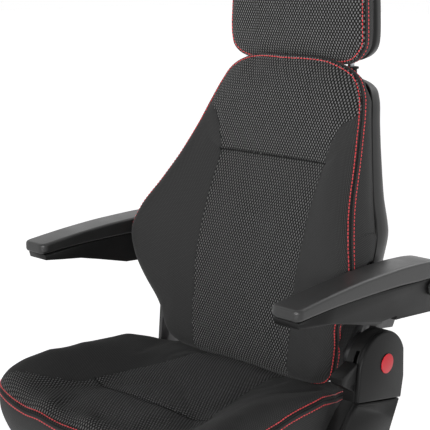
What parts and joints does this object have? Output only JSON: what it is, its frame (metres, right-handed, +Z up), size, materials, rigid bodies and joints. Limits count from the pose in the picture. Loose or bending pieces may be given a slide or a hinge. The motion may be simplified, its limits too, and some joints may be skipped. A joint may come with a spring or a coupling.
{
  "type": "vehicle operator seat",
  "caption": "Operator's seat on slide rails with a reclining back, fold-up armrests, recliner lever and a height-adjustable head restraint.",
  "frame": {"origin": "centre of the seat's box at the underside of the slide rails", "axes": "+Z up, the occupant faces -Y, +X is the occupant's left"},
  "size_m": [0.636, 0.6071, 0.885],
  "materials": {
    "fabric": "woven charcoal, matte",
    "armrest_skin": "soft grained skin",
    "black_plastic": "fine moulded grain",
    "black_steel": "satin black powder coat",
    "zinc_steel": "zinc plated",
    "badge_red": "gloss",
    "nylon": "natural nylon"
  },
  "bodies": {
    "slide_base": {"lower_rail_left": "black_steel", "lower_rail_right": "black_steel"},
    "seat_top": {"upper_rail_left": "zinc_steel", "upper_rail_right": "zinc_steel", "rail_glide_left": "nylon", "rail_glide_right": "nylon", "rail_riser_left": "black_steel", "rail_riser_right": "black_steel", "seat_pan": "black_steel", "seat_cushion": "fabric", "side_plate_left": "black_steel", "side_plate_right": "black_steel", "recliner_disc_left": "black_steel", "recliner_housing_left": "black_plastic", "recliner_cover_left": "black_plastic", "lower_side_cover_left": "black_plastic", "badge_cap_left": "badge_red", "lever_return_spring": "zinc_steel", "pivot_bolt_right": "zinc_steel", "pivot_cover_right": "black_plastic", "slide_bar_hanger_left": "black_steel", "slide_bar_hanger_right": "black_steel", "slide_bar_spring": "zinc_steel"},
    "slide_bar": {"slide_bar": "black_steel", "slide_latch_left": "zinc_steel", "slide_latch_right": "zinc_steel"},
    "recliner_lever": {"recliner_lever": "black_plastic", "recliner_shaft": "zinc_steel"},
    "back": {"back_arm_left": "black_steel", "back_arm_right": "black_steel", "lower_cross_tube": "black_steel", "back_side_tube_left": "black_steel", "back_side_tube_right": "black_steel", "upper_cross_tube": "black_steel", "suspension_mat": "black_plastic", "mat_wire_lower": "zinc_steel", "mat_wire_upper": "zinc_steel", "armrest_bracket_left": "black_steel", "armrest_bracket_right": "black_steel", "armrest_hinge_bolt_left": "zinc_steel", "armrest_hinge_bolt_right": "zinc_steel", "backrest_cushion": "fabric", "back_shell": "black_plastic", "headrest_sleeve_left": "black_plastic", "headrest_sleeve_right": "black_plastic"},
    "headrest": {"headrest_cushion": "fabric", "headrest_shell": "black_plastic", "headrest_core": "black_plastic", "headrest_post_left": "zinc_steel", "headrest_post_right": "zinc_steel"},
    "armrest_left": {"armrest_pad_left": "armrest_skin", "armrest_body_left": "black_plastic", "armrest_hub_cap_left": "black_plastic"},
    "armrest_wheel_left": {"armrest_wheel_left": "black_plastic"},
    "armrest_right": {"armrest_pad_right": "armrest_skin", "armrest_body_right": "black_plastic", "armrest_hub_cap_right": "black_plastic"},
    "armrest_wheel_right": {"armrest_wheel_right": "black_plastic"}
  },
  "joints": [
    {"name": "seat_slide", "type": "slide", "parent": "slide_base", "child": "seat_top", "axis": [0, -1, 0], "range_m": [-0.075, 0.075]},
    {"name": "slide_bar_lift", "type": "hinge", "parent": "seat_top", "child": "slide_bar", "pos_m": [0, -0.1282, 0.027], "axis": [-1, 0, 0], "range_deg": [0, 7], "stiffness_Nm_per_rad": 4},
    {"name": "recliner_lever_lift", "type": "hinge", "parent": "seat_top", "child": "recliner_lever", "pos_m": [0, 0.1268, 0.215], "axis": [-1, 0, 0], "range_deg": [0, 20], "stiffness_Nm_per_rad": 2},
    {"name": "backrest_recline", "type": "hinge", "parent": "seat_top", "child": "back", "pos_m": [0, 0.1268, 0.215], "axis": [-1, 0, 0], "range_deg": [-25, 30]},
    {"name": "headrest_height", "type": "slide", "parent": "back", "child": "headrest", "axis": [0, 0, 1], "range_m": [0, 0.06]},
    {"name": "armrest_left_fold", "type": "hinge", "parent": "back", "child": "armrest_left", "pos_m": [0, 0.2088, 0.336], "axis": [-1, 0, 0], "range_deg": [0, 95]},
    {"name": "armrest_left_angle_wheel", "type": "hinge", "parent": "armrest_left", "child": "armrest_wheel_left", "pos_m": [0, 0.0868, 0.313], "axis": [1, 0, 0], "range_deg": [-180, 180]},
    {"name": "armrest_right_fold", "type": "hinge", "parent": "back", "child": "armrest_right", "pos_m": [0, 0.2088, 0.336], "axis": [-1, 0, 0], "range_deg": [0, 95]},
    {"name": "armrest_right_angle_wheel", "type": "hinge", "parent": "armrest_right", "child": "armrest_wheel_right", "pos_m": [0, 0.0868, 0.313], "axis": [1, 0, 0], "range_deg": [-180, 180]}
  ]
}
